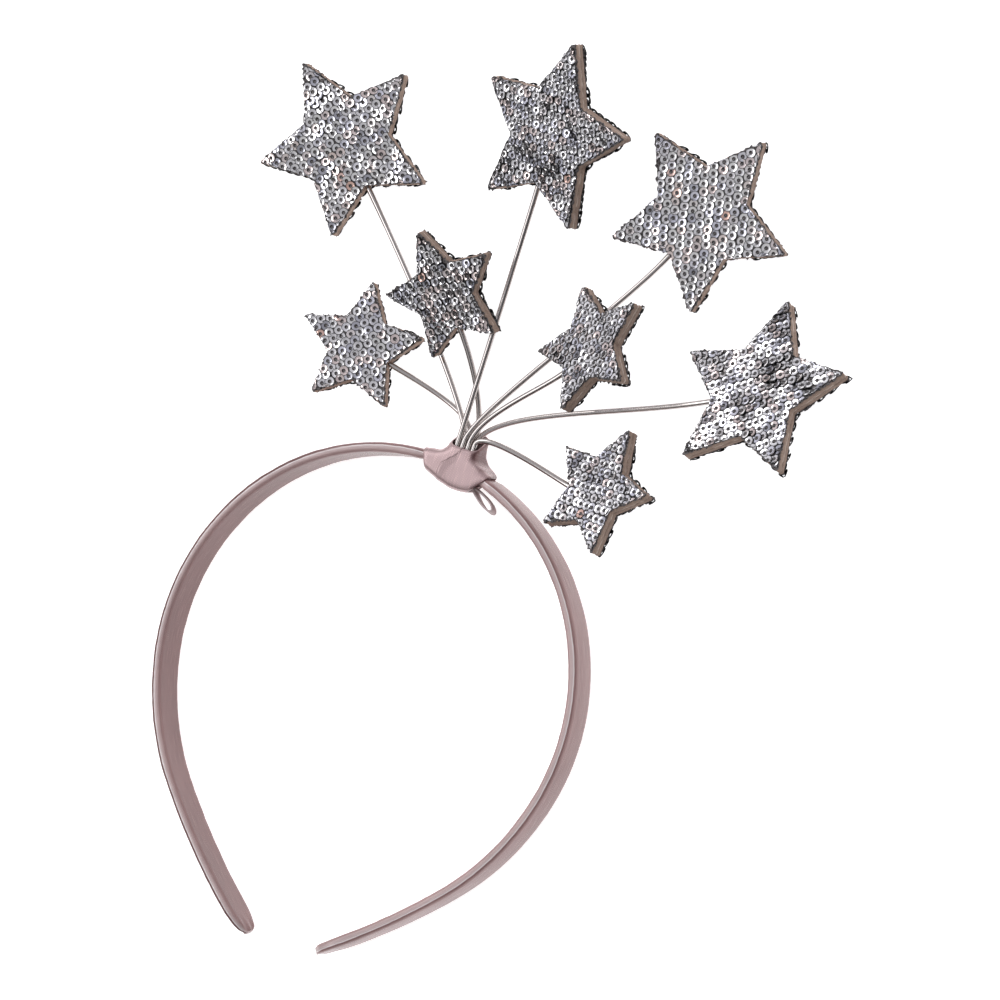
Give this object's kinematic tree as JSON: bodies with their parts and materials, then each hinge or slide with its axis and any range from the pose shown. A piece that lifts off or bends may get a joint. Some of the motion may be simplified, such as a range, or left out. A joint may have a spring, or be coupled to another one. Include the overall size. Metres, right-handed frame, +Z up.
{
  "type": "star headband",
  "caption": "Satin-covered alice band whose crown is bound with ribbon round a spray of bent silver wires that carry padded sequin stars; worn on the head.",
  "frame": {"origin": "under the middle of the whole headband, on the surface it lies on", "axes": "+X to the right, +Y from the open tips to the crown and its stars, +Z up from the surface, across the band's width"},
  "size_m": [0.1846, 0.2554, 0.0295],
  "materials": {
    "band_satin": "dusty mauve satin, soft sheen along the weave",
    "ribbon_satin": "dusty pink satin ribbon, soft sheen",
    "silver_wire": "bright polished silver",
    "star_foam": "matt cut foam edge, brown-beige",
    "sequin_cloth": "silver cup sequins on a pale lilac mesh"
  },
  "bodies": {
    "root": {"band": "band_satin", "ribbon_wrap": "ribbon_satin", "ribbon_loop": "ribbon_satin", "wire_1": "silver_wire", "wire_2": "silver_wire", "wire_3": "silver_wire", "wire_4": "silver_wire", "wire_5": "silver_wire", "wire_6": "silver_wire", "wire_7": "silver_wire", "wire_8": "silver_wire", "star_1_core": "star_foam", "star_1_front": "sequin_cloth", "star_1_back": "sequin_cloth", "star_2_core": "star_foam", "star_2_front": "sequin_cloth", "star_2_back": "sequin_cloth", "star_3_core": "star_foam", "star_3_front": "sequin_cloth", "star_3_back": "sequin_cloth", "star_4_core": "star_foam", "star_4_front": "sequin_cloth", "star_4_back": "sequin_cloth", "star_5_core": "star_foam", "star_5_front": "sequin_cloth", "star_5_back": "sequin_cloth", "star_6_core": "star_foam", "star_6_front": "sequin_cloth", "star_6_back": "sequin_cloth", "star_7_core": "star_foam", "star_7_front": "sequin_cloth", "star_7_back": "sequin_cloth", "star_8_core": "star_foam", "star_8_front": "sequin_cloth", "star_8_back": "sequin_cloth"}
  },
  "joints": []
}
